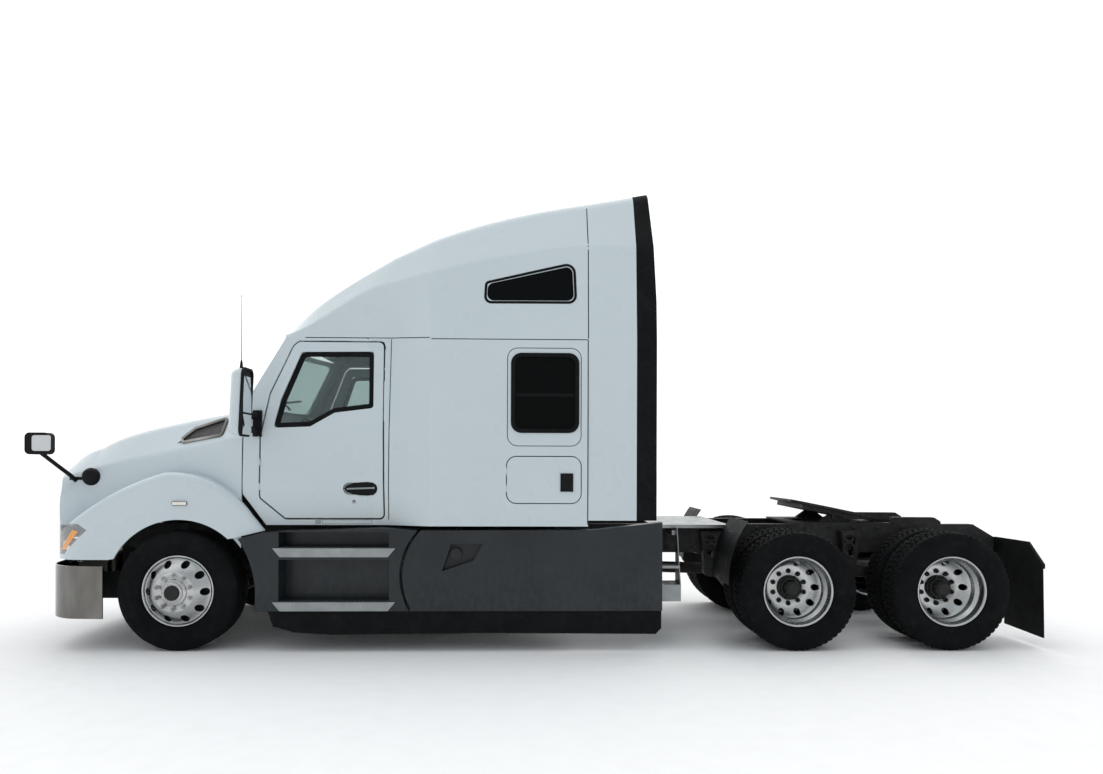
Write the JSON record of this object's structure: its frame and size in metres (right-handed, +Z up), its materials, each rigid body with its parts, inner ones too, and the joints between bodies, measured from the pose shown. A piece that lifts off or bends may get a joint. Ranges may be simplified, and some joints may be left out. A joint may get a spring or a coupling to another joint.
{
  "type": "semi truck tractor unit",
  "caption": "Conventional sleeper tractor with tilting hood, opening doors, steered front axle, tandem drive axles and a tilting fifth wheel.",
  "frame": {"origin": "on the ground at the centre of the overall footprint", "axes": "+X towards the rear, +Y towards the passenger's side, +Z up"},
  "size_m": [8.668, 2.8742, 4.0573],
  "materials": {
    "paint_white": "clean gloss paint",
    "paint_charcoal": "gloss paint",
    "frame_black": "satin black paint, dusty",
    "axle_iron": "dark, oily",
    "rim_aluminium": "polished",
    "trim_aluminium": "brushed, ribbed",
    "chrome": "polished",
    "tyre": "clean tread",
    "rubber_black": "matt",
    "plastic_black": "grained",
    "glass_clear": "greenish tint",
    "glass_dark": "dark tint",
    "lamp_lens": "clear lens with amber corner",
    "lens_red": "red lens",
    "cabin_grey": "soft touch",
    "seat_cloth": "woven",
    "bedding": "quilted"
  },
  "bodies": {
    "chassis": {"body_mounts": "frame_black", "bumper": "chrome", "bunk": "cabin_grey", "cab_shell": "paint_white", "dashboard": "cabin_grey", "deck_plate": "trim_aluminium", "drive_axles": "axle_iron", "engine": "axle_iron", "extender_edges": "rubber_black", "fifth_wheel_base": "frame_black", "frame": "frame_black", "frame_steps": "trim_aluminium", "front_axle": "axle_iron", "front_springs": "frame_black", "fuel_tanks": "trim_aluminium", "mattress": "bedding", "mirrors": "plastic_black", "mud_flaps": "rubber_black", "propshafts": "axle_iron", "quarter_fenders": "plastic_black", "radiator": "axle_iron", "rear_suspension": "frame_black", "roof_cap": "paint_white", "seats": "seat_cloth", "side_extenders": "paint_white", "skirts": "rubber_black", "sleeper_glass": "glass_dark", "sleeper_shell": "paint_white", "steering_wheel": "cabin_grey", "step_fairings": "paint_charcoal", "steps": "trim_aluminium", "tail_lamps": "lens_red", "tank_fairings": "paint_charcoal", "windshield": "glass_clear"},
    "hood": {"hood": "paint_white", "grille": "chrome", "headlamps": "lamp_lens", "hood_mirrors": "plastic_black"},
    "door_left": {"door_left": "paint_white", "door_glass_left": "glass_clear"},
    "door_right": {"door_right": "paint_white", "door_glass_right": "glass_clear"},
    "baggage_door_left": {"baggage_door_left": "paint_white"},
    "baggage_door_right": {"baggage_door_right": "paint_white"},
    "knuckle_left": {"knuckle_left": "axle_iron"},
    "knuckle_right": {"knuckle_right": "axle_iron"},
    "tie_rod": {"tie_rod": "axle_iron"},
    "steer_wheel_left": {"steer_tyre_left": "tyre", "steer_rim_left": "rim_aluminium"},
    "steer_wheel_right": {"steer_tyre_right": "tyre", "steer_rim_right": "rim_aluminium"},
    "drive1_wheel_left": {"drive1_tyres_left": "tyre", "drive1_rims_left": "rim_aluminium"},
    "drive1_wheel_right": {"drive1_tyres_right": "tyre", "drive1_rims_right": "rim_aluminium"},
    "drive2_wheel_left": {"drive2_tyres_left": "tyre", "drive2_rims_left": "rim_aluminium"},
    "drive2_wheel_right": {"drive2_tyres_right": "tyre", "drive2_rims_right": "rim_aluminium"},
    "fifth_wheel": {"fifth_wheel": "frame_black"}
  },
  "joints": [
    {"name": "hood_tilt", "type": "hinge", "parent": "chassis", "child": "hood", "pos_m": [-4.26, 0, 0.69], "axis": [0, -1, 0], "range_deg": [0, 62]},
    {"name": "door_left_swing", "type": "hinge", "parent": "chassis", "child": "door_left", "pos_m": [-2.418, -1.072, 1.85], "axis": [0, 0, -1], "range_deg": [0, 70]},
    {"name": "door_right_swing", "type": "hinge", "parent": "chassis", "child": "door_right", "pos_m": [-2.418, 1.072, 1.85], "axis": [0, 0, 1], "range_deg": [0, 70]},
    {"name": "baggage_door_left_swing", "type": "hinge", "parent": "chassis", "child": "baggage_door_left", "pos_m": [-0.318, -1.196, 1.446], "axis": [0, 0, -1], "range_deg": [0, 90]},
    {"name": "baggage_door_right_swing", "type": "hinge", "parent": "chassis", "child": "baggage_door_right", "pos_m": [-0.318, 1.196, 1.446], "axis": [0, 0, 1], "range_deg": [0, 90]},
    {"name": "steer_left", "type": "hinge", "parent": "chassis", "child": "knuckle_left", "pos_m": [-3.07, -0.87, 0.505], "axis": [0, 0, 1], "range_deg": [-40, 40]},
    {"name": "steer_right", "type": "hinge", "parent": "chassis", "child": "knuckle_right", "pos_m": [-3.07, 0.87, 0.505], "axis": [0, 0, 1], "range_deg": [-40, 40]},
    {"name": "tie_rod_swing", "type": "hinge", "parent": "knuckle_left", "child": "tie_rod", "pos_m": [-2.885, -0.87, 0.367], "axis": [0, 0, 1], "range_deg": [-40, 40]},
    {"name": "steer_wheel_left_spin", "type": "hinge", "parent": "knuckle_left", "child": "steer_wheel_left", "pos_m": [-3.07, -1.018, 0.505], "axis": [0, 1, 0], "continuous": true},
    {"name": "steer_wheel_right_spin", "type": "hinge", "parent": "knuckle_right", "child": "steer_wheel_right", "pos_m": [-3.07, 1.018, 0.505], "axis": [0, 1, 0], "continuous": true},
    {"name": "drive1_wheel_left_spin", "type": "hinge", "parent": "chassis", "child": "drive1_wheel_left", "pos_m": [2.159, -0.9, 0.505], "axis": [0, 1, 0], "continuous": true},
    {"name": "drive1_wheel_right_spin", "type": "hinge", "parent": "chassis", "child": "drive1_wheel_right", "pos_m": [2.159, 0.9, 0.505], "axis": [0, 1, 0], "continuous": true},
    {"name": "drive2_wheel_left_spin", "type": "hinge", "parent": "chassis", "child": "drive2_wheel_left", "pos_m": [3.48, -0.9, 0.505], "axis": [0, 1, 0], "continuous": true},
    {"name": "drive2_wheel_right_spin", "type": "hinge", "parent": "chassis", "child": "drive2_wheel_right", "pos_m": [3.48, 0.9, 0.505], "axis": [0, 1, 0], "continuous": true},
    {"name": "fifth_wheel_tilt", "type": "hinge", "parent": "chassis", "child": "fifth_wheel", "pos_m": [2.798, 0, 1.098], "axis": [0, -1, 0], "range_deg": [0, 20]}
  ],
  "couplings": [
    {"joint": "steer_right", "follows": "steer_left", "ratio": 1},
    {"joint": "tie_rod_swing", "follows": "steer_left", "ratio": -1}
  ]
}
